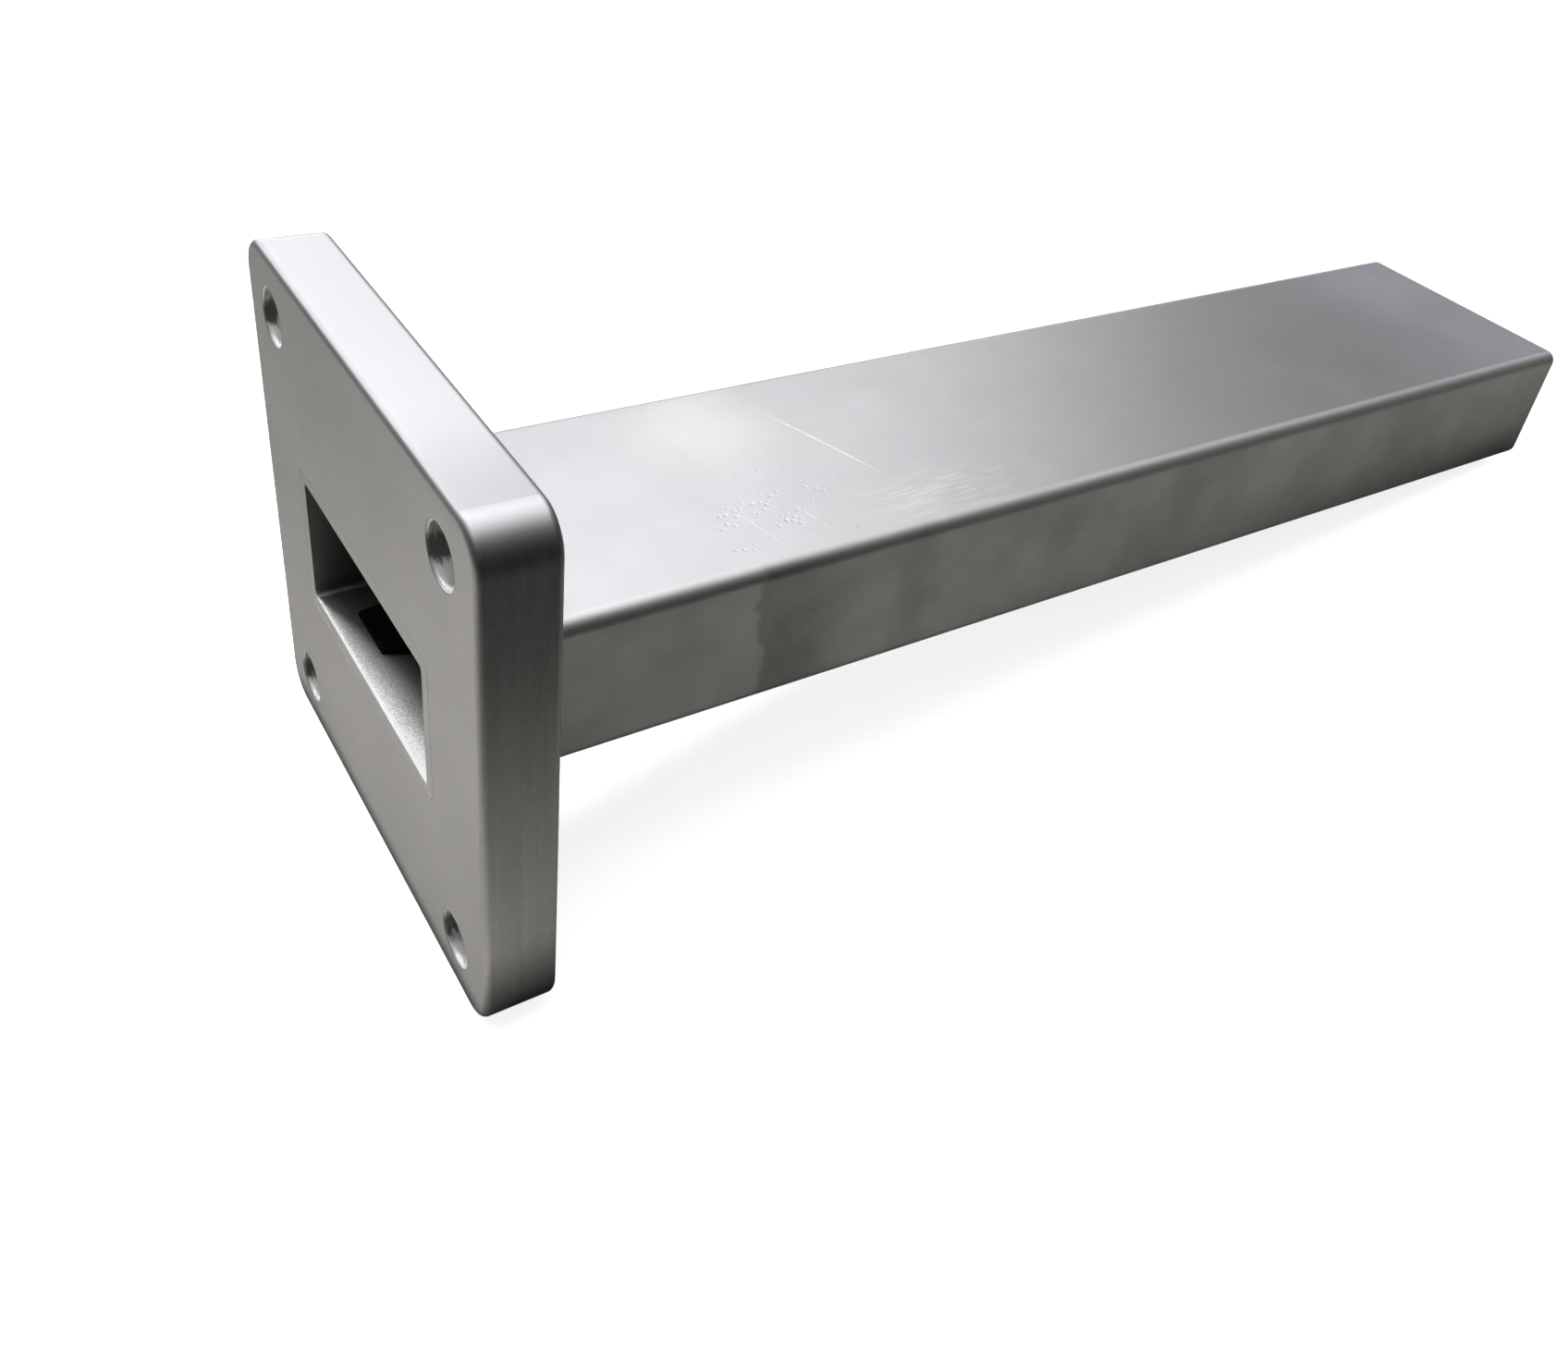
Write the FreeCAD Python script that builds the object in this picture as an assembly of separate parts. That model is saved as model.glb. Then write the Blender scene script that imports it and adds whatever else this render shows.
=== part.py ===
import FreeCAD, Part
import os
from math import cos, pi, sin

# A waveguide load: a square flange brazed on the mouth of a rectangular tube that is closed at its
# far end and holds a black lossy wedge. Sizes are in millimetres. The origin is the centre of the
# mouth, in the mating face. The tube runs along +X from the mouth to its closed end, its broad walls
# lie flat above and below the axis, and its narrow walls face +Y and -Y.

# The tube: an extruded rectangular section.
guide_width = 22.86
guide_height = 10.16
tube_wall = 1.0
tube_length = 122.0
tube_outer_radius = 1.1
tube_inner_radius = 0.5
tube_end_radius = 0.5

# The flange: a square plate, milled all round, with four holes for the screws that join it to the
# next flange. The holes are further apart across the narrow side than across the broad side.
flange_side = 41.4
flange_thickness = 5.3
flange_corner_radius = 2.8
flange_edge_radius = 0.5
hole_spacing_y = 31.0
hole_spacing_z = 32.5
hole_diameter = 4.1
hole_chamfer = 0.15

# The brazed joints: filler metal fills a thin gap, and stands as a small fillet behind the flange.
braze_gap = 0.05
braze_leg = 0.9
braze_hollow = 0.38

# The end plug: a plate let into the tube, flush with its end.
plug_thickness = 3.0
plug_edge_chamfer = 0.25

# The absorber: a wedge bonded to the lower broad wall. Its thin tip lies just inside the mouth, off
# the middle, and it widens over its nose and rises over its ramp to a block that fills the tube.
tip_setback = 2.0
tip_width = 5.1
tip_offset_y = 5.25
tip_height = 0.3
nose_length = 30.0
block_length = 26.7
absorber_side_clearance = 0.05
absorber_top_clearance = 0.4
absorber_back_gap = 0.3

# How far a cutting tool runs past the faces that it cuts.
overrun = 1.0

# Sizes that follow from the driving ones.
tube_width = guide_width + 2 * tube_wall
tube_height = guide_height + 2 * tube_wall


def section(width, height, radius, x):
    """A rectangle with round corners, centred on the tube's axis, in the plane that crosses it at x."""
    edges = []
    quarter = pi / 2
    for corner in range(4):
        start = corner * quarter
        side_y = 1 if corner in (0, 3) else -1
        side_z = 1 if corner in (0, 1) else -1
        centre_y = side_y * (width / 2 - radius)
        centre_z = side_z * (height / 2 - radius)
        arc = [
            FreeCAD.Vector(x, centre_y + radius * cos(angle), centre_z + radius * sin(angle))
            for angle in (start, start + quarter / 2, start + quarter)
        ]
        if edges:
            edges.append(Part.LineSegment(last, arc[0]).toShape())
        else:
            first = arc[0]
        edges.append(Part.Arc(*arc).toShape())
        last = arc[2]
    edges.append(Part.LineSegment(last, first).toShape())
    return Part.Wire(edges)


def prism(width, height, radius, x_from, x_to):
    """That section as a solid bar along the tube's axis."""
    face = Part.Face(section(width, height, radius, x_from))
    return face.extrude(FreeCAD.Vector(x_to - x_from, 0, 0))


def outline_edges(solid, x):
    """The edges of a solid that lie in the plane that crosses the axis at x."""
    return [
        edge
        for edge in solid.Edges
        if abs(edge.BoundBox.XMin - x) < 1e-6 and abs(edge.BoundBox.XMax - x) < 1e-6
    ]


def screw_hole(y, z):
    """The tool for one screw hole: a bore with a small countersink at each face of the flange."""
    bore = hole_diameter / 2
    mouth = bore + hole_chamfer + overrun
    profile = [
        (-overrun, 0),
        (-overrun, mouth),
        (hole_chamfer, bore),
        (flange_thickness - hole_chamfer, bore),
        (flange_thickness + overrun, mouth),
        (flange_thickness + overrun, 0),
    ]
    points = [FreeCAD.Vector(x, y, z + r) for x, r in profile]
    face = Part.Face(Part.makePolygon(points + points[:1]))
    return face.revolve(FreeCAD.Vector(0, y, z), FreeCAD.Vector(1, 0, 0), 360)


def make_flange():
    plate = prism(flange_side, flange_side, flange_corner_radius, 0, flange_thickness)
    eased = outline_edges(plate, 0) + outline_edges(plate, flange_thickness)
    plate = plate.makeFillet(flange_edge_radius, eased)
    window = prism(
        tube_width + 2 * braze_gap,
        tube_height + 2 * braze_gap,
        tube_outer_radius + braze_gap,
        -overrun,
        flange_thickness + overrun,
    )
    holes = [
        screw_hole(side_y * hole_spacing_y / 2, side_z * hole_spacing_z / 2)
        for side_y in (-1, 1)
        for side_z in (-1, 1)
    ]
    return plate.cut([window] + holes)


def make_tube():
    bar = prism(tube_width, tube_height, tube_outer_radius, 0, tube_length)
    bar = bar.makeFillet(tube_end_radius, outline_edges(bar, tube_length))
    channel = prism(guide_width, guide_height, tube_inner_radius, -overrun, tube_length + overrun)
    return bar.cut(channel)


def make_end_plug():
    plug = prism(
        guide_width - 2 * braze_gap,
        guide_height - 2 * braze_gap,
        tube_inner_radius - braze_gap,
        tube_length - plug_thickness,
        tube_length,
    )
    return plug.makeChamfer(plug_edge_chamfer, outline_edges(plug, tube_length))


def make_braze_seam():
    """A fillet of filler metal with a hollow face, swept round the tube where it leaves the flange."""
    top = tube_height / 2
    root = FreeCAD.Vector(flange_thickness, 0, top)
    on_flange = FreeCAD.Vector(flange_thickness, 0, top + braze_leg)
    on_tube = FreeCAD.Vector(flange_thickness + braze_leg, 0, top)
    hollow = braze_leg * braze_hollow
    middle = FreeCAD.Vector(flange_thickness + hollow, 0, top + hollow)
    profile = Part.Wire(
        [
            Part.LineSegment(root, on_flange).toShape(),
            Part.Arc(on_flange, middle, on_tube).toShape(),
            Part.LineSegment(on_tube, root).toShape(),
        ]
    )
    path = section(tube_width, tube_height, tube_outer_radius, flange_thickness)
    return path.makePipeShell([profile], True, False)


def make_absorber():
    """The wedge's side view and its top view, each drawn as a bar, and what the two have in common."""
    floor = -guide_height / 2
    tip = tip_setback
    back = tube_length - plug_thickness - absorber_back_gap
    ramp_end = back - block_length
    crest = guide_height / 2 - absorber_top_clearance
    half_width = guide_width / 2 - tube_inner_radius - absorber_side_clearance
    side_view = [
        (tip, floor),
        (back, floor),
        (back, crest),
        (ramp_end, crest),
        (tip, floor + tip_height),
    ]
    points = [FreeCAD.Vector(x, -half_width, z) for x, z in side_view]
    wedge = Part.Face(Part.makePolygon(points + points[:1]))
    wedge = wedge.extrude(FreeCAD.Vector(0, 2 * half_width, 0))
    top_view = [
        (tip, tip_offset_y - tip_width / 2),
        (tip + nose_length, -half_width),
        (back, -half_width),
        (back, half_width),
        (tip + nose_length, half_width),
        (tip, tip_offset_y + tip_width / 2),
    ]
    points = [FreeCAD.Vector(x, y, floor) for x, y in top_view]
    nose = Part.Face(Part.makePolygon(points + points[:1]))
    nose = nose.extrude(FreeCAD.Vector(0, 0, crest - floor))
    return wedge.common(nose)


os.makedirs("parts", exist_ok=True)
nodes = {
    "flange": make_flange(),
    "waveguide_tube": make_tube(),
    "end_plug": make_end_plug(),
    "braze_seam": make_braze_seam(),
    "absorber_wedge": make_absorber(),
}
for name, shape in nodes.items():
    shape.exportStep("parts/" + name + ".step")
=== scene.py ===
import bmesh
import bpy
from math import asin, atan2, cos, hypot, pi, radians, sin
from mathutils import Euler, Matrix, Vector

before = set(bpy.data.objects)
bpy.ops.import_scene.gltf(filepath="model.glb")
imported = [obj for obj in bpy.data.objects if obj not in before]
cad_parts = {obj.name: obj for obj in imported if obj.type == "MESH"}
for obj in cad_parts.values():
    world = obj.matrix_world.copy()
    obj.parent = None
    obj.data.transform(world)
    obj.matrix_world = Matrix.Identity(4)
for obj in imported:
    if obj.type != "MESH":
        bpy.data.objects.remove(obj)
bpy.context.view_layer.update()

# Flange: a square plate of aluminium, milled all round and then blasted with fine beads. It is brazed
# to the tube, whose end lies flush with its mating face, and has four drilled holes for screws.

# Sizes and places are in millimetres, here and below. A pair is where a change starts and where it is
# complete, or what it gives at the one and at the other. A tone is what a colour is multiplied by, and
# a relief is a share of the depth of its material's bump.
MM = 0.001
FLANGE_HALF = 20.7
FLANGE_THICKNESS = 5.3
FLANGE_EDGE_RADIUS = 0.5
HOLE_AXIS = (0, 15.5, 16.25)
HOLE_WALL = 2.16
BEAD_DIMPLE = 0.25
HANDLING_CLOUD = 11.0
MILLING_LINE = (0.45, 0.45, 14.0)
DRILL_RING = (0.3, 1.5, 1.5)
DRILL_TEAR = 2.4
BORE_HEIGHTS = (-0.9, 3.1)
BORE_LIGHT_TONES = (
    (0.0, "#FFFFFF"), (0.16, "#FFFFFF"), (0.24, "#8A8986"),
    (0.5, "#7A7976"), (0.66, "#D6D5D2"), (1.0, "#F2F2F0"),
)
EASED_EDGE_SHADE_TONE = 0.62
BEND_HIGHLIGHT_SHARPNESS = 9.0
BEND_HIGHLIGHT_TONE = 2.0
SHADED_TOP_END = (-6.0, -19.0)
TOP_END_SHADE_TONE = 0.8
MATING_FACE_HEIGHTS = (-18.0, 18.0)
MATING_FACE_SHADE = (-0.14, 0.16)
SIDE_HEIGHTS = (-12.0, 12.0)
SIDE_SHADE = (0.26, -0.26)
FOOT_SHADE_HEIGHT = 2.6
FOOT_SHADE_HEIGHT_ON_SIDES = 6.0
FOOT_SHADE_TONE = 0.1
BLASTED_DEPTH = 0.015
MILLING_RELIEF = 0.5
DRILL_RELIEF = 6.0

# The ranges that the middle and the most of a noise texture lie in.
MIDDLE_OF_NOISE = {"From Min": 0.35, "From Max": 0.65}
MOST_OF_NOISE = {"From Min": 0.3, "From Max": 0.7}


def linear(text):
    """An sRGB hex colour as linear red, green, blue and alpha."""
    channels = [int(text[i:i + 2], 16) / 255 for i in (1, 3, 5)]
    return [c / 12.92 if c <= 0.04045 else ((c + 0.055) / 1.055) ** 2.4 for c in channels] + [1.0]


def add(tree, kind, inputs, **settings):
    """Adds a node with its settings, and sets or links its inputs: a node gives its first output."""
    node = tree.nodes.new("ShaderNode" + kind)
    for name, value in settings.items():
        setattr(node, name, value)
    for name, value in inputs.items():
        if isinstance(value, bpy.types.Node):
            value = value.outputs[0]
        if isinstance(value, bpy.types.NodeSocket):
            tree.links.new(value, node.inputs[name])
        else:
            node.inputs[name].default_value = value
    return node


def new_material(name):
    """A material with an empty node tree, and the place on the object in metres."""
    made = bpy.data.materials.new(name)
    made.use_nodes = True
    made.node_tree.nodes.clear()
    return made, made.node_tree, add(made.node_tree, "TexCoord", {}).outputs["Object"]


def finish(tree, shader):
    """Ends a material with its shader."""
    add(tree, "OutputMaterial", {"Surface": shader})


def put_on(piece, made):
    """Gives the whole of a piece one material."""
    piece.data.materials.clear()
    piece.data.materials.append(made)
    for polygon in piece.data.polygons:
        polygon.material_index = 0


def per_mm(*sizes):
    """The scale that turns metres into a count of the given sizes in millimetres."""
    return [1 / (size * MM) for size in sizes]


# Milled and bead blasted aluminium: an even, fine grained satin with faint clouds from handling. The
# dimples are drawn about twice as coarse as the beads leave them, to show. The upright side faces keep
# faint lines of the cutter.
blasted, tree, spot = new_material("aluminium, milled and bead blasted")
place = add(tree, "SeparateXYZ", {0: spot}).outputs
normal = add(tree, "NewGeometry", {}).outputs["Normal"]
normal = add(tree, "VectorMath", {0: normal}, operation="ABSOLUTE")
facing = add(tree, "SeparateXYZ", {0: normal}).outputs
grain = add(tree, "TexNoise", {"Vector": spot, "Scale": per_mm(BEAD_DIMPLE)[0], "Detail": 2.0})
cloud = add(tree, "TexNoise", {"Vector": spot, "Scale": per_mm(HANDLING_CLOUD)[0], "Detail": 3.0})
lines = add(tree, "VectorMath", {0: spot, 1: per_mm(*MILLING_LINE)}, operation="MULTIPLY")
lines = add(tree, "TexNoise", {"Vector": lines, "Scale": 1.0, "Detail": 3.0})
lines = add(tree, "Math", {0: lines, 1: facing["Y"]}, operation="MULTIPLY")
tone = add(tree, "MapRange", {"Value": cloud, **MIDDLE_OF_NOISE})
tint = add(tree, "MixRGB", {"Fac": tone, "Color1": linear("#BCBBBA"), "Color2": linear("#C3C2C1")})
# Upward faces are mixed to a cooler tint, a painted tint for the light that falls on the top.
tint = add(tree, "MixRGB", {"Fac": facing["Z"], "Color1": tint, "Color2": linear("#BDBDC0")})
grain = add(tree, "Math", {0: grain, 1: 0.5}, operation="SUBTRACT")
plain = add(tree, "MapRange", {"Value": facing["Z"], "To Min": 1.0, "To Max": 0.2})
grain = add(tree, "Math", {0: grain, 1: plain}, operation="MULTIPLY")
fleck = add(tree, "MapRange", {
    "Value": grain,
    "From Min": -0.2,
    "From Max": 0.2,
    "To Min": 0.95,
    "To Max": 1.04,
})
streak = add(tree, "MapRange", {
    "Value": lines,
    "From Min": 0.35,
    "From Max": 0.7,
    "To Min": 1.04,
    "To Max": 0.92,
})

# Painted light and shade: the eased edges carry a painted shade and the bend at the end of its top a
# painted highlight. The near end of the top, the foot of the mating face and the heads of the sides
# carry painted shade, and a dark painted shade lies round the foot, reaching further up the sides.
# Painted shade on the eased edges between the mating face and the top.
eased_edge_shade = add(tree, "Math", {0: facing["X"], 1: facing["Z"]}, operation="MULTIPLY")
eased_edge_shade = add(tree, "MapRange", {
    "Value": eased_edge_shade,
    "From Max": 0.4,
    "To Min": 1.0,
    "To Max": EASED_EDGE_SHADE_TONE,
})
# Painted highlight on rounded edges that turn from the top towards the sides.
bend_highlight = add(tree, "Math", {0: facing["Z"], 1: BEND_HIGHLIGHT_SHARPNESS}, operation="POWER")
bend_highlight = add(tree, "Math", {0: bend_highlight, 1: facing["Y"]}, operation="MULTIPLY")
bend_highlight = add(tree, "Math", {0: bend_highlight, 1: BEND_HIGHLIGHT_TONE, 2: 1.0}, operation="MULTIPLY_ADD")
# Painted shade on the near end of the top.
top_end_shade = add(tree, "MapRange", {
    "Value": place["Y"],
    "From Min": SHADED_TOP_END[0] * MM,
    "From Max": SHADED_TOP_END[1] * MM,
}, interpolation_type="SMOOTHSTEP")
above = add(tree, "MapRange", {"Value": facing["Z"], "From Min": 0.8})
top_end_shade = add(tree, "Math", {0: top_end_shade, 1: above}, operation="MULTIPLY")
top_end_shade = add(tree, "MapRange", {"Value": top_end_shade, "To Min": 1.0, "To Max": TOP_END_SHADE_TONE})
# Painted shade and light by height: the mating face darker at its foot and lighter at its head, the
# sides lighter at their foot and darker at their head.
height_shades = []
for heights, change, side in (
    (MATING_FACE_HEIGHTS, MATING_FACE_SHADE, facing["X"]),
    (SIDE_HEIGHTS, SIDE_SHADE, facing["Y"]),
):
    shift = add(tree, "MapRange", {
        "Value": place["Z"],
        "From Min": heights[0] * MM,
        "From Max": heights[1] * MM,
        "To Min": change[0],
        "To Max": change[1],
    })
    height_shades.append(add(tree, "Math", {0: shift, 1: side, 2: 1.0}, operation="MULTIPLY_ADD"))
# Painted shade round the foot, reaching further up the sides.
foot_shade_top = add(tree, "Math", {
    0: facing["Y"],
    1: FOOT_SHADE_HEIGHT_ON_SIDES * MM,
    2: (FOOT_SHADE_HEIGHT - FLANGE_HALF) * MM,
}, operation="MULTIPLY_ADD")
foot_shade = add(tree, "MapRange", {
    "Value": place["Z"],
    "From Min": -FLANGE_HALF * MM,
    "From Max": foot_shade_top,
    "To Min": FOOT_SHADE_TONE,
    "To Max": 1.0,
}, interpolation_type="SMOOTHSTEP")
for shade in (fleck, streak, eased_edge_shade, bend_highlight, top_end_shade, *height_shades, foot_shade):
    tint = add(tree, "VectorMath", {0: tint, "Scale": shade}, operation="SCALE")

# The drilled holes keep torn rings, and painted light on their walls: a painted highlight on their
# lower walls, painted shade half way up and lighter again at the top.
fold = add(tree, "VectorMath", {0: spot}, operation="ABSOLUTE")
fold = add(tree, "VectorMath", {0: fold, 1: Vector(HOLE_AXIS) * MM}, operation="SUBTRACT")
fold = add(tree, "VectorMath", {0: fold, 1: (0, 1, 1)}, operation="MULTIPLY")
off_axis = add(tree, "VectorMath", {0: fold}, operation="LENGTH").outputs["Value"]
bored = add(tree, "Math", {0: off_axis, 1: HOLE_WALL * MM}, operation="LESS_THAN")
rings = add(tree, "VectorMath", {0: spot, 1: per_mm(*DRILL_RING)}, operation="MULTIPLY")
rings = add(tree, "TexNoise", {"Vector": rings, "Scale": 1.0, "Detail": 4.0, "Roughness": 0.65})
half = add(tree, "Math", {0: place["Z"]}, operation="SIGN")
upward = add(tree, "Math", {0: half, 1: -HOLE_AXIS[2] * MM, 2: place["Z"]}, operation="MULTIPLY_ADD")
upward = add(tree, "Math", {0: rings, 1: DRILL_TEAR * MM, 2: upward}, operation="MULTIPLY_ADD")
# Painted light and shade up the bore walls, torn by the drill's rings.
bore = add(tree, "MapRange", {
    "Value": upward,
    "From Min": BORE_HEIGHTS[0] * MM,
    "From Max": BORE_HEIGHTS[1] * MM,
})
bore = add(tree, "ValToRGB", {"Fac": bore})
for at, colour in BORE_LIGHT_TONES:
    bore.color_ramp.elements.new(at).color = linear(colour)
bore.color_ramp.elements.remove(bore.color_ramp.elements[0])
bore.color_ramp.elements.remove(bore.color_ramp.elements[-1])
tint = add(tree, "MixRGB", {"Fac": bored, "Color1": tint, "Color2": bore})
satin = add(tree, "MapRange", {"Value": cloud, **MOST_OF_NOISE, "To Min": 0.51, "To Max": 0.55})
relief = add(tree, "Math", {0: lines, 1: MILLING_RELIEF, 2: grain}, operation="MULTIPLY_ADD")
ridges = add(tree, "Math", {0: rings, 1: bored}, operation="MULTIPLY")
relief = add(tree, "Math", {0: ridges, 1: DRILL_RELIEF, 2: relief}, operation="MULTIPLY_ADD")
bump = add(tree, "Bump", {"Height": relief, "Strength": 0.5, "Distance": BLASTED_DEPTH * MM})
finish(tree, add(tree, "BsdfPrincipled", {
    "Base Color": tint,
    "Metallic": 1.0,
    "Roughness": satin,
    "Normal": bump,
}))
put_on(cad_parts["flange"], blasted)

# Tube: a length of extruded rectangular aluminium tube, worn and stained outside and blasted just
# inside its mouth. It passes through the flange and is milled flush with its mating face.
TUBE_LENGTH = 122.0
TUBE_HALF_HEIGHT = 6.08
TUBE_HALF_WIDTH = 12.43
TUBE_END_RADIUS = 0.5
BORE_HALF_HEIGHT = 5.08
BORE_HALF_WIDTH = 11.43
TOP_SKIN = 0.1
NEAR_FADE = 1.0
BORE_SKIN = 0.02
MILLED_SKIN = 0.03
LOWER_WALL = (0.1, 0.6)
FALLING = {"To Min": 1.0, "To Max": 0.0}
BRUSHED_DEPTH = 0.02
BRUSH_LINE = (30.0, 0.35, 0.35)
BRUSH_RELIEF = 0.06
STAIN_CLOUD = 9.0
STAIN_RAGGED = 2.2
PIT_SPACING = 0.6
PIT_GROWTH = 0.42
PIT_LEAST = 0.03
PIT_STRENGTH = 0.08
PIT_RELIEF = -2.6
RUB_LINE = (3.5, 0.3, 0.3)
RUB_STRENGTH = 0.38
BLAST_SPECK = 0.16
LIT_BLAST_SLANT = 0.11
LIT_BLAST_REACH = (1.3, 3.0)
LIP_LIGHT_FADE = (-0.8, 1.4)
LIP_LIGHT_TONES = (1.75, 0.76)
BLAST_RELIEF = 2.5
PLAIN_RELIEF = 0.12
LIP_RIM = 0.35
LIP_RIM_HIGHLIGHT_TONE = 1.7

# Each scratch's two ends on the top, its width and how strong it is. It fades over the outer part of
# the way from its middle to its ends, in shares of its length.
SCRATCHES = (
    ((35.6, 7.5), (40.0, -4.8), 0.13, 0.75),
    ((26.3, -5.4), (27.6, -11.3), 0.10, 0.35),
    ((30.7, -5.4), (32.2, -11.5), 0.10, 0.3),
)
SCRATCH_FADE = (0.25, 0.52)
SCRATCH_RELIEF = -2.0
SCRATCH_ROUGHNESS = 0.2

# Each worn patch's middle on the top, how it is squeezed along and across, and where it fades.
PIT_PATCH = ((29.5, -6.0), (0.55, 0.95, 1), (1.5, 9.0))
RUB_PATCH = ((44.0, -8.6), (0.33, 0.8, 1), (0.5, 4.0))
BLUSH_PATCH = ((29.5, 6.5), (1, 1, 1), (1.0, 8.0))
BLUSH_STRENGTH = 0.35

# The stain's ragged front and where its tail ends, and the middle and half width of the fainter one.
STAIN_WANDER = 3.5
STAIN_TOOTH = 1.8
STAIN_FRONT = (27.1, 27.6)
STAIN_TAIL = 37.0
SECOND_STAIN = 41.5
SECOND_STAIN_HALF = 2.8
SECOND_STAIN_STRENGTH = 0.42
STAIN_TONE = 0.7

# Along the tube: where the painted shade near the flange ends, where the blue starts, and where and
# how much the long edges are painted lighter and made rougher.
NEAR_FLANGE_SHADE = (10.0, 42.0)
NEAR_FLANGE_SHADE_TONE = 0.84
BLUER_FROM = 95.0
EDGE_SHEEN_SPAN = (20.0, 55.0)
EDGE_SHEEN_STRENGTH = (0.25, 0.38)
EDGE_ROUGHNESS = 0.36

# Extruded aluminium, brushed along its length: a cool satin with faint long lines, drawn at about
# three times their real pitch, and dull clouds where it was handled.
extruded, tree, spot = new_material("aluminium, extruded and brushed")
strokes = add(tree, "VectorMath", {0: spot, 1: per_mm(*BRUSH_LINE)}, operation="MULTIPLY")
strokes = add(tree, "TexNoise", {"Vector": strokes, "Scale": 1.0, "Detail": 3.0})
cloud = add(tree, "TexNoise", {
    "Vector": spot,
    "Scale": per_mm(STAIN_CLOUD)[0],
    "Detail": 4.0,
    "Roughness": 0.6,
})
ragged = add(tree, "TexNoise", {"Vector": spot, "Scale": per_mm(STAIN_RAGGED)[0], "Detail": 3.0})
grit = add(tree, "TexNoise", {
    "Vector": spot,
    "Scale": per_mm(BLAST_SPECK)[0],
    "Detail": 2.0,
    "Roughness": 0.7,
})
place = add(tree, "SeparateXYZ", {0: spot}).outputs
half = add(tree, "VectorMath", {0: spot}, operation="ABSOLUTE")
half = add(tree, "SeparateXYZ", {0: half}).outputs

# Its top, its near side and its inside, each a mask of 0 and 1. The near side's fades over 1 mm.
top = add(tree, "Math", {0: place["Z"], 1: (TUBE_HALF_HEIGHT - TOP_SKIN) * MM}, operation="GREATER_THAN")
near = add(tree, "MapRange", {
    "Value": place["Y"],
    "From Min": -TUBE_HALF_WIDTH * MM,
    "From Max": (NEAR_FADE - TUBE_HALF_WIDTH) * MM,
    **FALLING,
})
within = add(tree, "Math", {0: half["Y"], 1: (BORE_HALF_WIDTH + BORE_SKIN) * MM}, operation="LESS_THAN")
inside = add(tree, "Math", {0: half["Z"], 1: (BORE_HALF_HEIGHT + BORE_SKIN) * MM}, operation="LESS_THAN")
inside = add(tree, "Math", {0: inside, 1: within}, operation="MULTIPLY")

# Scratches on the top, each a thin bright line that fades at its ends and is broken along its length.
broken = add(tree, "MapRange", {
    "Value": ragged,
    "From Min": 0.3,
    "From Max": 0.55,
    "To Min": 0.35,
    "To Max": 1.0,
})
marks = 0.0
for start, end, width, strength in SCRATCHES:
    start = Vector((*start, TUBE_HALF_HEIGHT))
    run = Vector((*end, TUBE_HALF_HEIGHT)) - start
    sideways = Vector((-run.y, run.x, 0)).normalized()
    step = add(tree, "VectorMath", {0: spot, 1: start * MM}, operation="SUBTRACT")
    share = add(tree, "VectorMath", {0: step, 1: run / run.length_squared / MM}, operation="DOT_PRODUCT")
    share = add(tree, "Math", {0: share.outputs["Value"], 1: 0.5}, operation="SUBTRACT")
    share = add(tree, "Math", {0: share}, operation="ABSOLUTE")
    fade = add(tree, "MapRange", {
        "Value": share,
        "From Min": SCRATCH_FADE[0],
        "From Max": SCRATCH_FADE[1],
        "To Min": strength,
        "To Max": 0.0,
    })
    off = add(tree, "VectorMath", {0: step, 1: sideways / MM}, operation="DOT_PRODUCT")
    off = add(tree, "Math", {0: off.outputs["Value"]}, operation="ABSOLUTE")
    line = add(tree, "MapRange", {"Value": off, "From Max": width, **FALLING})
    line = add(tree, "Math", {0: line, 1: fade}, operation="MULTIPLY")
    marks = add(tree, "Math", {0: marks, 1: line}, operation="MAXIMUM")
marks = add(tree, "Math", {0: marks, 1: broken}, operation="MULTIPLY")

# Pits crowd in a worn patch near the flange, short rubs lie behind it along the near edge, and a pale
# blush lies on the far side of the pits.
patches = []
for middle, squeeze, fade in (PIT_PATCH, RUB_PATCH, BLUSH_PATCH):
    middle = Vector((*middle, TUBE_HALF_HEIGHT)) * MM
    away = add(tree, "VectorMath", {0: spot, 1: middle}, operation="SUBTRACT")
    away = add(tree, "VectorMath", {0: away, 1: squeeze}, operation="MULTIPLY")
    away = add(tree, "VectorMath", {0: away}, operation="LENGTH").outputs["Value"]
    patches.append(add(tree, "MapRange", {
        "Value": away,
        "From Min": fade[0] * MM,
        "From Max": fade[1] * MM,
        **FALLING,
    }, interpolation_type="SMOOTHSTEP"))
pitted, rubbed, blush = patches
cell = add(tree, "TexVoronoi", {"Vector": spot, "Scale": per_mm(PIT_SPACING)[0]})
size = add(tree, "MapRange", {"Value": ragged, "From Min": 0.4, "From Max": 0.65})
size = add(tree, "Math", {0: size, 1: pitted}, operation="MULTIPLY")
size = add(tree, "Math", {0: size, 1: PIT_GROWTH, 2: PIT_LEAST}, operation="MULTIPLY_ADD")
pits = add(tree, "MapRange", {"Value": cell, "From Max": size, **FALLING})
pits = add(tree, "Math", {0: pits, 1: top}, operation="MULTIPLY")
rubs = add(tree, "VectorMath", {0: spot, 1: per_mm(*RUB_LINE)}, operation="MULTIPLY")
rubs = add(tree, "TexNoise", {"Vector": rubs, "Scale": 1.0, "Detail": 3.0})
rubs = add(tree, "MapRange", {
    "Value": rubs,
    "From Min": 0.48,
    "From Max": 0.68,
    "To Min": 0.0,
    "To Max": RUB_STRENGTH,
})
rubs = add(tree, "Math", {0: rubs, 1: rubbed}, operation="MULTIPLY")
marks = add(tree, "Math", {0: pits, 1: PIT_STRENGTH, 2: marks}, operation="MULTIPLY_ADD")
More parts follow.
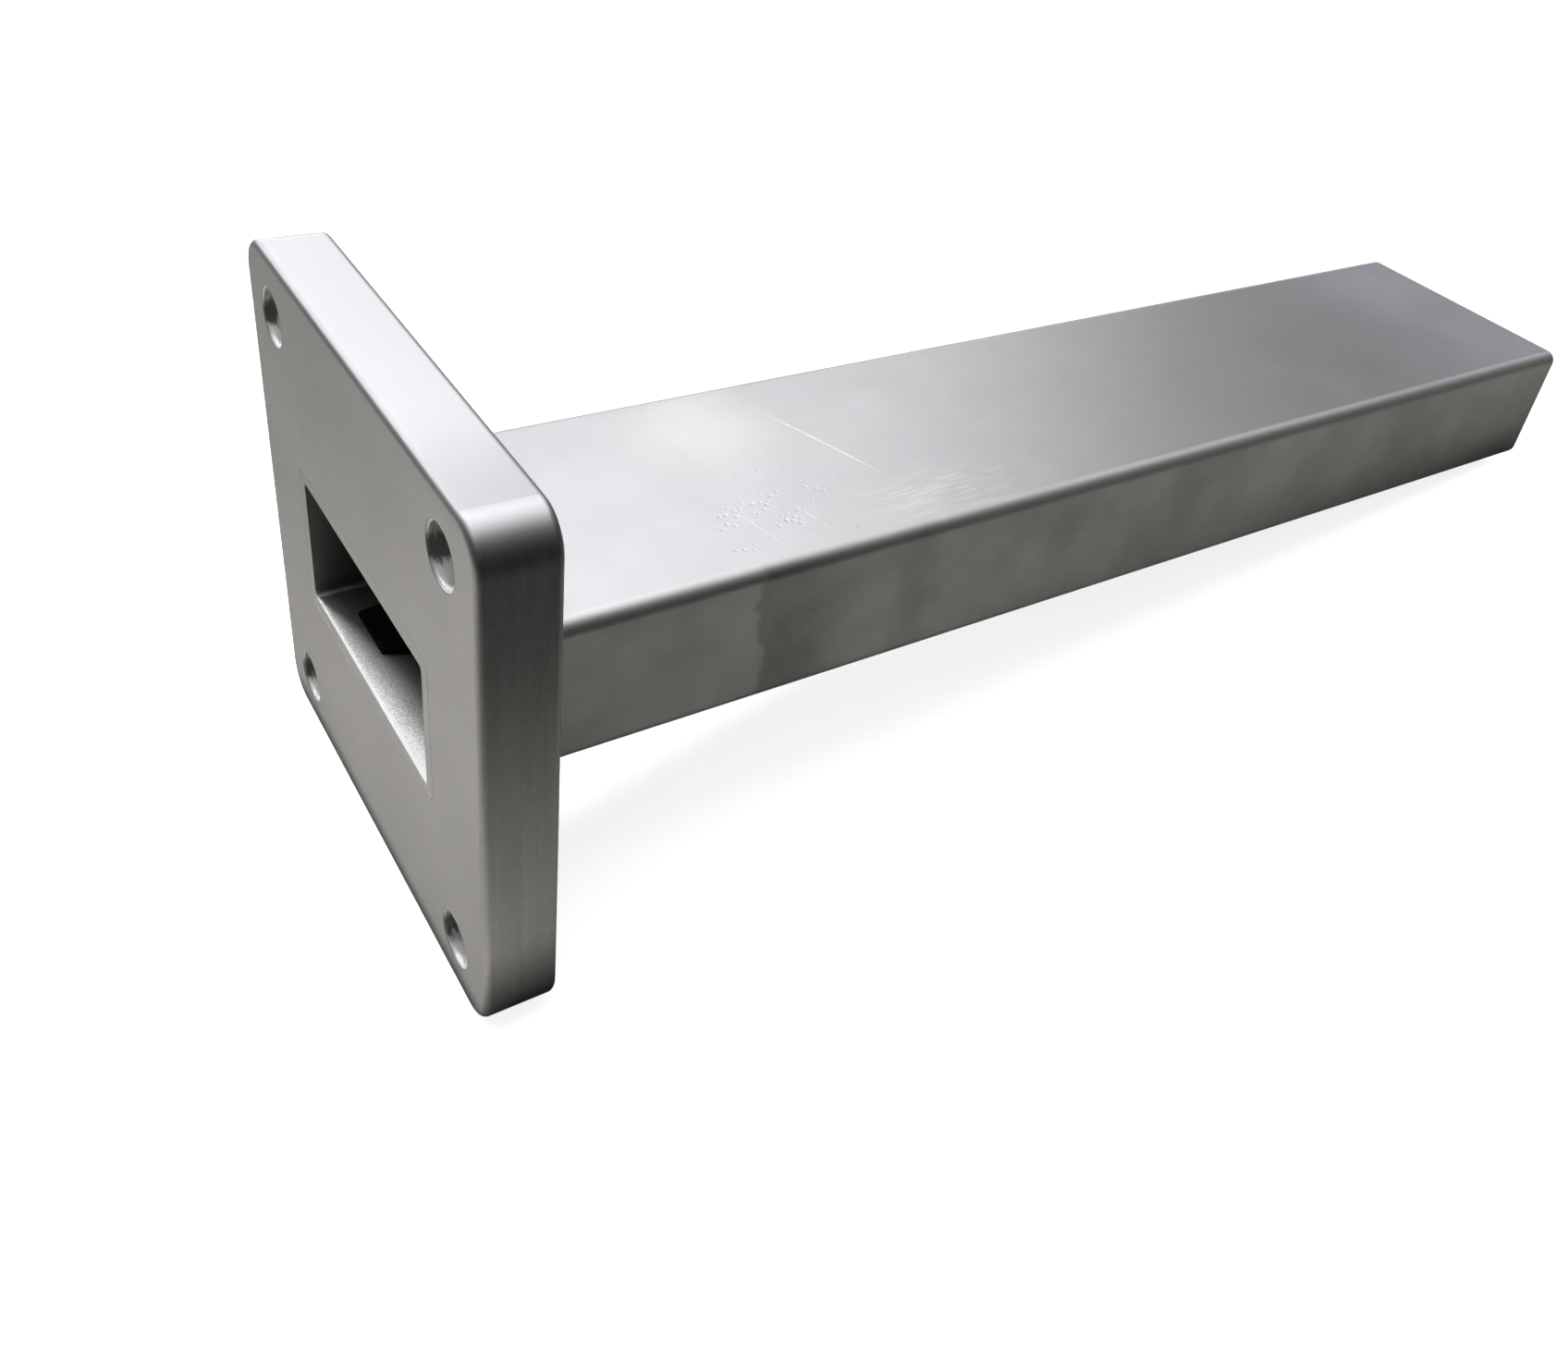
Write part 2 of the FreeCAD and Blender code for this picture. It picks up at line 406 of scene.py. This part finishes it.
marks = add(tree, "Math", {0: marks, 1: rubs}, operation="MAXIMUM")
marks = add(tree, "Math", {0: marks, 1: top}, operation="MULTIPLY")

# The stain on the near side has a ragged edge, and is dark behind it and again a little further on.
wander = add(tree, "Math", {0: cloud, 1: STAIN_WANDER * MM, 2: place["X"]}, operation="MULTIPLY_ADD")
wander = add(tree, "Math", {0: ragged, 1: STAIN_TOOTH * MM, 2: wander}, operation="MULTIPLY_ADD")
edge = add(tree, "MapRange", {
    "Value": wander,
    "From Min": STAIN_FRONT[0] * MM,
    "From Max": STAIN_FRONT[1] * MM,
})
tail = add(tree, "MapRange", {
    "Value": wander,
    "From Min": STAIN_FRONT[1] * MM,
    "From Max": STAIN_TAIL * MM,
    **FALLING,
}, interpolation_type="SMOOTHSTEP")
stain = add(tree, "Math", {0: edge, 1: tail}, operation="MULTIPLY")
second = add(tree, "Math", {0: wander, 1: SECOND_STAIN * MM}, operation="SUBTRACT")
second = add(tree, "Math", {0: second}, operation="ABSOLUTE")
second = add(tree, "MapRange", {
    "Value": second,
    "From Max": SECOND_STAIN_HALF * MM,
    "To Min": SECOND_STAIN_STRENGTH,
    "To Max": 0.0,
}, interpolation_type="SMOOTHSTEP")
stain = add(tree, "Math", {0: stain, 1: second}, operation="MAXIMUM")
stain = add(tree, "Math", {0: stain, 1: near}, operation="MULTIPLY")

# Colour: cool on the top, with a painted shade near the flange, and bluer at the far end; darker,
# warmer and cloudy on the near side, a painted shade and tint; and the flange's own tone on the milled
# end. The rounded long edges carry a painted sheen and are rougher.
tone = add(tree, "MapRange", {"Value": cloud, **MIDDLE_OF_NOISE})
cool = add(tree, "MixRGB", {"Fac": tone, "Color1": linear("#C5C5C8"), "Color2": linear("#CACACD")})
# The near side's darker, warmer tone is a painted shade and tint.
near_side_shade_tone = add(tree, "MixRGB", {"Fac": tone, "Color1": linear("#AFB0AF"), "Color2": linear("#C3C3C2")})
# Painted shade on the tube, darkest at the flange and fading out along it.
near_flange_shade = add(tree, "MapRange", {
    "Value": place["X"],
    "From Min": NEAR_FLANGE_SHADE[0] * MM,
    "From Max": NEAR_FLANGE_SHADE[1] * MM,
    "To Min": NEAR_FLANGE_SHADE_TONE,
    "To Max": 1.0,
})
cool = add(tree, "VectorMath", {0: cool, "Scale": near_flange_shade}, operation="SCALE")
blush = add(tree, "Math", {0: blush, 1: BLUSH_STRENGTH}, operation="MULTIPLY")
cool = add(tree, "MixRGB", {"Fac": blush, "Color1": cool, "Color2": linear("#DEDAD9")})
bluer = add(tree, "MapRange", {
    "Value": place["X"],
    "From Min": BLUER_FROM * MM,
    "From Max": TUBE_LENGTH * MM,
}, interpolation_type="SMOOTHSTEP")
cool = add(tree, "MixRGB", {"Fac": bluer, "Color1": cool, "Color2": linear("#E8EBF4")})
tint = add(tree, "MixRGB", {"Fac": near, "Color1": cool, "Color2": near_side_shade_tone})
normal = add(tree, "NewGeometry", {}).outputs["Normal"]
normal = add(tree, "VectorMath", {0: normal}, operation="ABSOLUTE")
facing = add(tree, "SeparateXYZ", {0: normal}).outputs
# Painted sheen: the rounded long edges are mixed lighter, more so further along, and made rougher.
rounded = add(tree, "Math", {0: facing["Y"], 1: facing["Z"]}, operation="MULTIPLY")
rounded = add(tree, "MapRange", {"Value": rounded, "From Max": 0.35})
edge_sheen_and_roughness = add(tree, "MapRange", {
    "Value": place["X"],
    "From Min": EDGE_SHEEN_SPAN[0] * MM,
    "From Max": EDGE_SHEEN_SPAN[1] * MM,
    "To Min": EDGE_SHEEN_STRENGTH[0],
    "To Max": EDGE_SHEEN_STRENGTH[1],
})
edge_sheen_and_roughness = add(tree, "Math", {0: rounded, 1: edge_sheen_and_roughness}, operation="MULTIPLY")
tint = add(tree, "MixRGB", {"Fac": edge_sheen_and_roughness, "Color1": tint, "Color2": linear("#FCFCFD")})
milled = add(tree, "Math", {0: place["X"], 1: MILLED_SKIN * MM}, operation="LESS_THAN")
tint = add(tree, "MixRGB", {"Fac": milled, "Color1": tint, "Color2": linear("#C1C0BE")})
lined = add(tree, "MapRange", {"Value": strokes, **MOST_OF_NOISE, "To Min": 0.993, "To Max": 1.007})
dull = add(tree, "MapRange", {"Value": stain, "To Min": 1.0, "To Max": STAIN_TONE})
for shade in (lined, dull):
    tint = add(tree, "VectorMath", {0: tint, "Scale": shade}, operation="SCALE")

# The channel is painted dark, a painted shade. Its lower wall just inside the mouth is blasted and
# speckled, with a painted pool of light that reaches in further on the near side, and the very rim of
# the lip carries a painted highlight.
# The blasted speckle, into which painted light and a painted highlight are multiplied below.
speck_and_painted_light = add(tree, "MapRange", {"Value": grit, **MIDDLE_OF_NOISE, "To Min": 0.75, "To Max": 1.2})
lower = add(tree, "MapRange", {
    "Value": place["Z"],
    "From Min": (LOWER_WALL[0] - BORE_HALF_HEIGHT) * MM,
    "From Max": (LOWER_WALL[1] - BORE_HALF_HEIGHT) * MM,
    **FALLING,
})
# Painted pool of light on the blasted lower wall, slanting further in on the near side.
depth = add(tree, "Math", {0: place["Y"], 1: LIT_BLAST_SLANT, 2: place["X"]}, operation="MULTIPLY_ADD")
lip = add(tree, "MapRange", {
    "Value": depth,
    "From Min": LIT_BLAST_REACH[0] * MM,
    "From Max": LIT_BLAST_REACH[1] * MM,
    **FALLING,
}, interpolation_type="SMOOTHSTEP")
lip = add(tree, "Math", {0: lip, 1: lower}, operation="MULTIPLY")
# Painted light, brightest at the lip and dimmer deeper in.
painted_lip_light = add(tree, "MapRange", {
    "Value": depth,
    "From Min": LIP_LIGHT_FADE[0] * MM,
    "From Max": LIP_LIGHT_FADE[1] * MM,
    "To Min": LIP_LIGHT_TONES[0],
    "To Max": LIP_LIGHT_TONES[1],
})
# Painted highlight on the very rim of the lip.
rim = add(tree, "MapRange", {
    "Value": place["X"],
    "From Max": LIP_RIM * MM,
    "To Min": LIP_RIM_HIGHLIGHT_TONE,
    "To Max": 1.0,
})
for shade in (painted_lip_light, rim):
    speck_and_painted_light = add(tree, "Math", {0: speck_and_painted_light, 1: shade}, operation="MULTIPLY")
channel = add(tree, "VectorMath", {0: linear("#D2D2D1")[:3], "Scale": speck_and_painted_light}, operation="SCALE")
channel = add(tree, "VectorMath", {0: channel, 1: (1, 1, 1)}, operation="MINIMUM")
# The rest of the channel takes a dark tone, a painted shade.
channel = add(tree, "MixRGB", {"Fac": lip, "Color1": linear("#8E8D8A"), "Color2": channel})
tint = add(tree, "MixRGB", {"Fac": inside, "Color1": tint, "Color2": channel})
tint = add(tree, "MixRGB", {"Fac": marks, "Color1": tint, "Color2": linear("#F6F6F6")})
satin = add(tree, "MapRange", {"Value": cloud, **MOST_OF_NOISE, "To Min": 0.48, "To Max": 0.44})
satin = add(tree, "Math", {0: marks, 1: SCRATCH_ROUGHNESS, 2: satin}, operation="MULTIPLY_ADD")
satin = add(tree, "Math", {0: edge_sheen_and_roughness, 1: EDGE_ROUGHNESS, 2: satin}, operation="MULTIPLY_ADD")
relief = add(tree, "Math", {0: strokes, 1: BRUSH_RELIEF, 2: cloud}, operation="MULTIPLY_ADD")
relief = add(tree, "Math", {0: marks, 1: SCRATCH_RELIEF, 2: relief}, operation="MULTIPLY_ADD")
relief = add(tree, "Math", {0: pits, 1: PIT_RELIEF, 2: relief}, operation="MULTIPLY_ADD")
coarse = add(tree, "Math", {0: lip, 1: BLAST_RELIEF, 2: PLAIN_RELIEF}, operation="MULTIPLY_ADD")
relief = add(tree, "Math", {0: grit, 1: coarse, 2: relief}, operation="MULTIPLY_ADD")
bump = add(tree, "Bump", {"Height": relief, "Strength": 0.5, "Distance": BRUSHED_DEPTH * MM})
finish(tree, add(tree, "BsdfPrincipled", {
    "Base Color": tint,
    "Metallic": 1.0,
    "Roughness": satin,
    "Normal": bump,
}))
put_on(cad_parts["waveguide_tube"], extruded)

# End plug: a plate of aluminium let into the far end of the tube and milled flush with it. It closes
# the tube behind the absorber.
CUTTER_STEP = 0.6
CUTTER_DEPTH = 0.004
CUTTER_CENTRE = -38.0
CHATTER = 0.5
CHATTER_SWAY = 0.3

# Face milled aluminium: fine arcs left by the cutter, which passed once along the broad side.
milled_plate, tree, spot = new_material("aluminium, face milled")
swing = add(tree, "VectorMath", {0: spot, 1: Vector((0, 0, CUTTER_CENTRE)) * MM}, operation="SUBTRACT")
swing = add(tree, "VectorMath", {0: swing, 1: (0, 1, 1)}, operation="MULTIPLY")
swing = add(tree, "VectorMath", {0: swing}, operation="LENGTH").outputs["Value"]
chatter = add(tree, "TexNoise", {"Vector": spot, "Scale": per_mm(CHATTER)[0], "Detail": 3.0})
swing = add(tree, "Math", {0: chatter, 1: CHATTER_SWAY * MM, 2: swing}, operation="MULTIPLY_ADD")
arcs = add(tree, "Math", {0: swing, 1: 2 * pi / (CUTTER_STEP * MM)}, operation="MULTIPLY")
arcs = add(tree, "Math", {0: arcs}, operation="SINE")
tone = add(tree, "MapRange", {"Value": arcs, "From Min": -1.0})
tint = add(tree, "MixRGB", {"Fac": tone, "Color1": linear("#BFBEBC"), "Color2": linear("#C9C8C6")})
satin = add(tree, "MapRange", {"Value": chatter, **MOST_OF_NOISE, "To Min": 0.34, "To Max": 0.46})
bump = add(tree, "Bump", {"Height": arcs, "Strength": 0.5, "Distance": CUTTER_DEPTH * MM})
finish(tree, add(tree, "BsdfPrincipled", {
    "Base Color": tint,
    "Metallic": 1.0,
    "Roughness": satin,
    "Normal": bump,
}))
put_on(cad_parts["end_plug"], milled_plate)

# Braze seam: the fillet of filler metal that ran round the tube on the back of the flange. It holds
# the two together.
RIPPLE = 1.4
RIPPLE_DEPTH = 0.08
PORE_SPACING = 0.7

# Aluminium and silicon filler, as brazed: greyer than the tube, with the soft ripples and small pores
# that the melt froze with.
filler, tree, spot = new_material("aluminium and silicon filler, as brazed")
ripple = add(tree, "TexNoise", {
    "Vector": spot,
    "Scale": per_mm(RIPPLE)[0],
    "Detail": 4.0,
    "Distortion": 0.6,
})
tone = add(tree, "MapRange", {"Value": ripple, **MOST_OF_NOISE})
tint = add(tree, "MixRGB", {"Fac": tone, "Color1": linear("#A3A29D"), "Color2": linear("#C2C1BC")})
pores = add(tree, "TexVoronoi", {"Vector": spot, "Scale": per_mm(PORE_SPACING)[0]})
pores = add(tree, "MapRange", {
    "Value": pores,
    "From Min": 0.1,
    "From Max": 0.2,
    "To Min": 0.55,
    "To Max": 1.0,
})
tint = add(tree, "VectorMath", {0: tint, "Scale": pores}, operation="SCALE")
satin = add(tree, "MapRange", {"Value": ripple, **MOST_OF_NOISE, "To Min": 0.52, "To Max": 0.36})
relief = add(tree, "Math", {0: ripple, 1: pores}, operation="ADD")
bump = add(tree, "Bump", {"Height": relief, "Strength": 0.6, "Distance": RIPPLE_DEPTH * MM})
finish(tree, add(tree, "BsdfPrincipled", {
    "Base Color": tint,
    "Metallic": 1.0,
    "Roughness": satin,
    "Normal": bump,
}))
put_on(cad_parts["braze_seam"], filler)

# Absorber: a wedge cast in resin that is full of iron powder, bonded to the lower broad wall. Only
# its thin tip is seen, in the mouth.
IRON_GRAIN = 0.25
GRINDING_LINE = (8.0, 0.5, 2.0)
GROUND_DEPTH = 0.02

# Iron-loaded resin, cast and ground to shape: near black and matt, with a fine grain of powder that
# is drawn several times coarser than it is, and faint marks of grinding.
loaded, tree, spot = new_material("iron-loaded resin, cast and ground")
powder = add(tree, "TexNoise", {"Vector": spot, "Scale": per_mm(IRON_GRAIN)[0], "Detail": 2.0})
ground = add(tree, "VectorMath", {0: spot, 1: per_mm(*GRINDING_LINE)}, operation="MULTIPLY")
ground = add(tree, "TexNoise", {"Vector": ground, "Scale": 1.0, "Detail": 2.0})
tone = add(tree, "MapRange", {"Value": powder, "From Min": 0.4, "From Max": 0.7})
tint = add(tree, "MixRGB", {"Fac": tone, "Color1": linear("#020303"), "Color2": linear("#090A0A")})
matt = add(tree, "MapRange", {"Value": ground, **MOST_OF_NOISE, "To Min": 0.72, "To Max": 0.9})
relief = add(tree, "Math", {0: powder, 1: ground}, operation="ADD")
bump = add(tree, "Bump", {"Height": relief, "Strength": 0.5, "Distance": GROUND_DEPTH * MM})
finish(tree, add(tree, "BsdfPrincipled", {
    "Base Color": tint,
    "Roughness": matt,
    "Specular IOR Level": 0.1,
    "Normal": bump,
}))
put_on(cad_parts["absorber_wedge"], loaded)

# Floor: a sheet of white paper. The load rests on it on the flange's lower back edge and on the
# tube's far lower edge, so it leans a little from the object's own axes.
FLOOR_HALF = 2000.0
PAPER_FIBRE = 0.8
PAPER_DEPTH = 0.02
PAPER_GLOW = 0.81

heel = Vector((FLANGE_THICKNESS - FLANGE_EDGE_RADIUS, 0, FLANGE_EDGE_RADIUS - FLANGE_HALF))
toe = Vector((TUBE_LENGTH - TUBE_END_RADIUS, 0, TUBE_END_RADIUS - TUBE_HALF_HEIGHT))
span = toe - heel
tilt = atan2(span.z, span.x) - asin((TUBE_END_RADIUS - FLANGE_EDGE_RADIUS) / hypot(span.x, span.z))
up = Vector((-sin(tilt), 0, cos(tilt)))
contact = heel - FLANGE_EDGE_RADIUS * up
lean = Euler((0, -tilt, 0)).to_matrix()


def stage_object(name, shape):
    """A part of the studio, from the shape drawn in bmesh, in metres."""
    mesh = bpy.data.meshes.new(name)
    shape.to_mesh(mesh)
    shape.free()
    thing = bpy.data.objects.new(name, mesh)
    bpy.context.scene.collection.objects.link(thing)
    return thing


shape = bmesh.new()
shape.faces.new([
    shape.verts.new((contact + lean @ Vector((x * FLOOR_HALF, y * FLOOR_HALF, 0))) * MM)
    for x, y in ((-1, -1), (1, -1), (1, 1), (-1, 1))
])
floor = stage_object("floor", shape)


def shown_as_white(tree):
    """1 where a ray from the camera or off metal or glass arrives, and 0 for the light on things."""
    ray = add(tree, "LightPath", {}).outputs
    shown = add(tree, "Math", {0: ray["Is Camera Ray"], 1: ray["Is Glossy Ray"]}, operation="MAXIMUM")
    return add(tree, "Math", {0: shown, 1: ray["Is Transmission Ray"]}, operation="MAXIMUM")


# Matt white paper: it glows to the camera and in the metal, so that it shows white there, and keeps
# the load's soft shadow.
paper, tree, spot = new_material("paper, matt white")
glow = add(tree, "Math", {0: shown_as_white(tree), 1: PAPER_GLOW}, operation="MULTIPLY")
fibre = add(tree, "TexNoise", {"Vector": spot, "Scale": per_mm(PAPER_FIBRE)[0], "Detail": 3.0})
finish(tree, add(tree, "BsdfPrincipled", {
    "Base Color": linear("#E6E6E6"),
    "Roughness": 1.0,
    "Specular IOR Level": 0.0,
    "Emission Color": (1, 1, 1, 1),
    "Emission Strength": glow,
    "Normal": add(tree, "Bump", {"Height": fibre, "Strength": 0.3, "Distance": PAPER_DEPTH * MM}),
}))
put_on(floor, paper)

# Room: white all round, as bright to the camera and in the metal as the floor is, and a soft fill on
# the load.
ROOM_FILL = 0.25

world = bpy.data.worlds.new("room")
bpy.context.scene.world = world
world.use_nodes = True
world.node_tree.nodes.clear()
tree = world.node_tree
level = add(tree, "MapRange", {"Value": shown_as_white(tree), "To Min": ROOM_FILL, "To Max": 1.0})
glow = add(tree, "Background", {"Color": (1, 1, 1, 1), "Strength": level})
add(tree, "OutputWorld", {"Surface": glow})

# Lamps: a large softbox overhead, and a small one with a narrow beam high on the far side, a little
# in front of the mouth. That one lights the flange's top, the lip of the mouth and the lower walls of
# the holes.

# Each lamp's name, its place, where it points, its side, watts, spread in degrees and colour.
LAMPS = (
    ("overhead_softbox", (20, 190, 545), (40, 0, 0), 860, 2.8, 180, "#FFFFFF"),
    ("back_softbox", (-76, 379, 318), (-14, 10, 14), 90, 0.045, 26, "#FDFDFF"),
)

for name, stand, aim, side, watts, spread, colour in LAMPS:
    lamp = bpy.data.lights.new(name, "AREA")
    lamp.shape = "SQUARE"
    lamp.size = side * MM
    lamp.energy = watts
    lamp.spread = radians(spread)
    lamp.color = linear(colour)[:3]
    box = bpy.data.objects.new(name, lamp)
    bpy.context.scene.collection.objects.link(box)
    turn = (Vector(aim) - Vector(stand)).to_track_quat("-Z", "Y").to_matrix().to_4x4()
    box.matrix_world = Matrix.Translation(Vector(stand) * MM) @ turn

# Tent: matt grey cloth round and under the load, as round a shiny thing in a studio. Only the metal
# shows it. It is open at the top, and lower behind the load, where the white room shows over it.
TENT_STEPS = 48
TENT_CENTRE = 45.0
TENT_GAP = 0.4

# How far out and how high the cloth runs, and the first and last gore of each lower stretch with the
# number of panels that it keeps.
TENT_LINE = (
    (1, 0), (20, 0), (50, 0), (90, 0), (140, 0), (190, 0), (240, 6), (280, 25), (310, 60), (325, 110),
    (330, 170), (330, 230), (320, 320), (300, 420), (290, 520),
)
LOW_STRETCHES = ((0, 1, 10), (5, 8, 9), (9, 12, 11))

# How light the cloth is, from in front of the load to behind it.
CLOTH_REACH = 125
CLOTH_SHADES = (
    (-120, 0.01), (-80, 0.015), (-52, 0.04), (-36, 0.62), (-15, 0.62), (5, 0.68), (30, 0.6),
    (60, 0.46), (100, 0.4),
)
CLOTH_DARK_ABOVE = (20, 110)
CLOTH_TONE_ABOVE = 0.05
CLOTH_PAINTED_SHADOW_TONE = 0.2
UNDER_START = (-2, 3)
UNDER_WIDENS = (6, 16)
UNDER_HALVES = (20, 14)
UNDER_FADE = 10

shape = bmesh.new()
hub = contact + lean @ Vector((TENT_CENTRE, 0, TENT_GAP))
gores = []
for step in range(TENT_STEPS):
    turn = 2 * pi * step / TENT_STEPS
    gores.append([
        shape.verts.new((hub + lean @ Vector((r * cos(turn), r * sin(turn), z))) * MM)
        for r, z in TENT_LINE
    ])
for step, (one, two) in enumerate(zip(gores, gores[1:] + gores[:1])):
    panels = len(TENT_LINE) - 1
    for first, last, kept in LOW_STRETCHES:
        if first <= step <= last:
            panels = kept
    for i in range(panels):
        shape.faces.new((one[i], one[i + 1], two[i + 1], two[i]))
tent = stage_object("tent", shape)
tent.visible_camera = False
tent.visible_shadow = False
tent.visible_diffuse = False

# Matt cloth, a warm grey: light under and behind the load, near black in front of it and above, and
# a painted shadow straight under it.
cloth, tree, spot = new_material("cloth, matt grey")
place = add(tree, "SeparateXYZ", {0: spot}).outputs
across = add(tree, "MapRange", {
    "Value": place["Y"],
    "From Min": -CLOTH_REACH * MM,
    "From Max": CLOTH_REACH * MM,
})
shade = add(tree, "ValToRGB", {"Fac": across})
shade.color_ramp.interpolation = "EASE"
for at, level in CLOTH_SHADES:
    share = (at + CLOTH_REACH) / (2 * CLOTH_REACH)
    shade.color_ramp.elements.new(share).color = (level, level, level, 1)
shade.color_ramp.elements.remove(shade.color_ramp.elements[0])
shade.color_ramp.elements.remove(shade.color_ramp.elements[-1])
high = add(tree, "MapRange", {
    "Value": place["Z"],
    "From Min": CLOTH_DARK_ABOVE[0] * MM,
    "From Max": CLOTH_DARK_ABOVE[1] * MM,
    "To Min": 1.0,
    "To Max": CLOTH_TONE_ABOVE,
}, interpolation_type="SMOOTHSTEP")
shade = add(tree, "Math", {0: shade, 1: high}, operation="MULTIPLY")
# Painted shadow on the cloth straight under the load.
clear = add(tree, "MapRange", {
    "Value": place["X"],
    "From Min": UNDER_START[0] * MM,
    "From Max": UNDER_START[1] * MM,
    **FALLING,
})
reach = add(tree, "MapRange", {
    "Value": place["X"],
    "From Min": UNDER_WIDENS[0] * MM,
    "From Max": UNDER_WIDENS[1] * MM,
    "To Min": UNDER_HALVES[0] * MM,
    "To Max": UNDER_HALVES[1] * MM,
})
beside = add(tree, "Math", {0: place["Y"]}, operation="ABSOLUTE")
beside = add(tree, "Math", {0: beside, 1: reach}, operation="SUBTRACT")
beside = add(tree, "MapRange", {"Value": beside, "From Max": UNDER_FADE * MM})
clear = add(tree, "Math", {0: clear, 1: beside}, operation="MAXIMUM")
clear = add(tree, "MapRange", {"Value": clear, "To Min": CLOTH_PAINTED_SHADOW_TONE, "To Max": 1.0})
shade = add(tree, "Math", {0: shade, 1: clear}, operation="MULTIPLY")
tint = add(tree, "VectorMath", {0: linear("#FFFCF5")[:3], "Scale": shade}, operation="SCALE")
finish(tree, add(tree, "BsdfDiffuse", {"Color": tint, "Roughness": 0.0}))
put_on(tent, cloth)

# Camera: close to the load, in front of its mouth and above it, as the photograph was taken. The
# colours are shown as they are written.
CAMERA_PLACE = Vector((-23.305, -79.775, 65.043))
CAMERA_AIM = Vector((42.345, 0, -9.576))
CAMERA_ROLL = 9.446
LENS = 33.19
LENS_SHIFT = (-0.0409, -0.0569)
SENSOR_WIDTH = 36
NEAREST = 5

lens = bpy.data.cameras.new("camera")
lens.sensor_width = SENSOR_WIDTH
lens.lens = LENS
lens.shift_x = LENS_SHIFT[0]
lens.shift_y = LENS_SHIFT[1]
lens.clip_start = NEAREST * MM
camera = bpy.data.objects.new("camera", lens)
bpy.context.scene.collection.objects.link(camera)
turn = (CAMERA_AIM - CAMERA_PLACE).to_track_quat("-Z", "Y").to_matrix().to_4x4()
roll = Matrix.Rotation(radians(CAMERA_ROLL), 4, "Z")
camera.matrix_world = Matrix.Translation(CAMERA_PLACE * MM) @ turn @ roll
bpy.context.scene.camera = camera
bpy.context.scene.view_settings.view_transform = "Standard"
